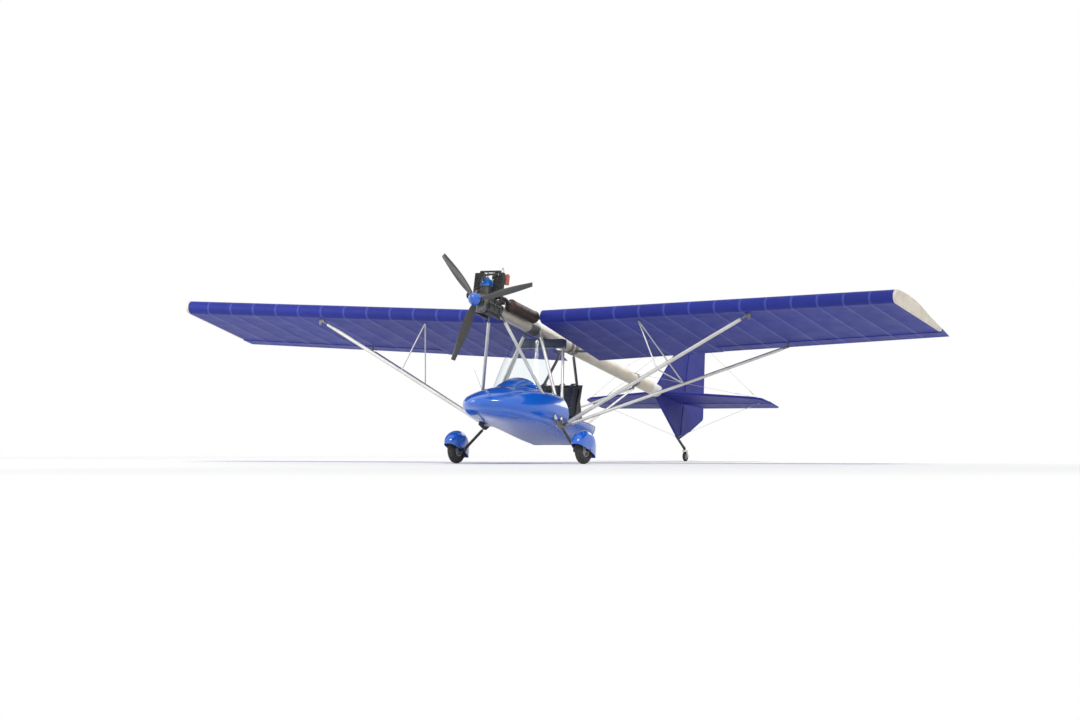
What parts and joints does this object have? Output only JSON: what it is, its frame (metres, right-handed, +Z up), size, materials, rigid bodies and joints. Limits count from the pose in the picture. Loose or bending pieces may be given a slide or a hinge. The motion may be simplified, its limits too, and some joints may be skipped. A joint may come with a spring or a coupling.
{
  "type": "microlight aircraft",
  "caption": "High-wing strut-braced microlight with an open side-by-side pod, a tractor engine on a tail boom and a steerable tailwheel.",
  "frame": {"origin": "on the floor under the middle of the bounding box", "axes": "+X to the aircraft's left (port), +Y aft, +Z up, standing on its three wheels"},
  "size_m": [9.6, 5.9244, 2.4537],
  "materials": {
    "sailcloth": "satin",
    "cap_cream": "satin",
    "blue_gloss": "gloss",
    "tube_alloy": "satin",
    "dark_alloy": "satin",
    "bracket_steel": "satin",
    "black_steel": "satin",
    "navy_panel": "satin",
    "engine_grey": "matte",
    "engine_blue": "satin",
    "radiator_black": "matte",
    "hose_black": "matte",
    "exhaust_brown": "matte",
    "bottle_plastic": "satin",
    "tank_plastic": "satin",
    "blade_grey": "satin",
    "tyre_rubber": "matte",
    "rim_white": "satin",
    "seat_shell": "matte",
    "seat_cloth": "matte",
    "panel_black": "matte",
    "clear_sheet": "clear"
  },
  "bodies": {
    "airframe": {"air_filters": "hose_black", "back_cushions": "seat_cloth", "boom_clamps": "dark_alloy", "cabane_tubes": "tube_alloy", "carburettors": "engine_grey", "control_stick": "black_steel", "coolant_bottle": "bottle_plastic", "coolant_hose": "hose_black", "crankcase": "engine_grey", "cross_tube": "tube_alloy", "cylinder_block": "engine_grey", "cylinder_head": "engine_blue", "door_posts": "dark_alloy", "engine_mount": "black_steel", "exhaust": "exhaust_brown", "fin": "sailcloth", "fuel_tank": "tank_plastic", "gear_leg_port": "black_steel", "gear_leg_starboard": "black_steel", "gearbox": "engine_grey", "instrument_cowl": "blue_gloss", "instrument_panel": "panel_black", "jury_struts": "tube_alloy", "lift_struts_port": "tube_alloy", "lift_struts_starboard": "tube_alloy", "pod_shell": "blue_gloss", "radiators": "radiator_black", "rear_frame": "tube_alloy", "rear_pylon_tubes": "dark_alloy", "roof_beam": "navy_panel", "rudder_pedals": "black_steel", "seat_bench": "seat_shell", "seat_cushions": "seat_cloth", "seats": "seat_shell", "spat_port": "blue_gloss", "spat_starboard": "blue_gloss", "strut_brackets": "bracket_steel", "strut_plates": "bracket_steel", "tail_boom": "tube_alloy", "tail_braces": "dark_alloy", "tail_leg": "tube_alloy", "tailplane": "sailcloth", "windscreen": "clear_sheet", "wing_caps": "cap_cream", "wing_port": "sailcloth", "wing_starboard": "sailcloth"},
    "propeller": {"propeller": "blade_grey", "spinner": "blue_gloss"},
    "wheel_port": {"wheel_rim_port": "rim_white", "tyre_port": "tyre_rubber"},
    "wheel_starboard": {"wheel_rim_starboard": "rim_white", "tyre_starboard": "tyre_rubber"},
    "tail_fork": {"tailwheel_fork": "bracket_steel"},
    "tail_wheel": {"tailwheel_hub": "rim_white", "tailwheel_tyre": "tyre_rubber"},
    "rudder": {"rudder": "sailcloth"},
    "elevator": {"elevator": "sailcloth"},
    "aileron_port": {"aileron_port": "sailcloth"},
    "aileron_starboard": {"aileron_starboard": "sailcloth"}
  },
  "joints": [
    {"name": "propeller_spin", "type": "hinge", "parent": "airframe", "child": "propeller", "pos_m": [0, -2.79644, 1.90272], "axis": [0, 0.9747, -0.2234], "continuous": true},
    {"name": "wheel_port_spin", "type": "hinge", "parent": "airframe", "child": "wheel_port", "pos_m": [0.86, -1.78417, 0.163], "axis": [1, 0, 0], "continuous": true},
    {"name": "wheel_starboard_spin", "type": "hinge", "parent": "airframe", "child": "wheel_starboard", "pos_m": [-0.86, -1.78417, 0.163], "axis": [1, 0, 0], "continuous": true},
    {"name": "tailwheel_steer", "type": "hinge", "parent": "airframe", "child": "tail_fork", "pos_m": [0, 2.39789, 0.15], "axis": [0, 0, 1], "range_deg": [-30, 30]},
    {"name": "tailwheel_spin", "type": "hinge", "parent": "tail_fork", "child": "tail_wheel", "pos_m": [0, 2.42589, 0.062], "axis": [1, 0, 0], "continuous": true},
    {"name": "rudder_hinge", "type": "hinge", "parent": "airframe", "child": "rudder", "pos_m": [0, 2.36179, 0.72039], "axis": [0, 0.2234, 0.9747], "range_deg": [-28, 28]},
    {"name": "elevator_hinge", "type": "hinge", "parent": "airframe", "child": "elevator", "pos_m": [0, 2.28869, 0.73715], "axis": [1, 0, 0], "range_deg": [-24, 24]},
    {"name": "aileron_port_hinge", "type": "hinge", "parent": "airframe", "child": "aileron_port", "pos_m": [1.9, -0.39996, 1.39262], "axis": [0.9986, 0.0103, 0.0513], "range_deg": [-18, 18]},
    {"name": "aileron_starboard_hinge", "type": "hinge", "parent": "airframe", "child": "aileron_starboard", "pos_m": [-1.9, -0.39996, 1.39262], "axis": [-0.9986, 0.0103, 0.0513], "range_deg": [-18, 18]}
  ],
  "couplings": [
    {"joint": "aileron_starboard_hinge", "follows": "aileron_port_hinge", "ratio": 1}
  ]
}
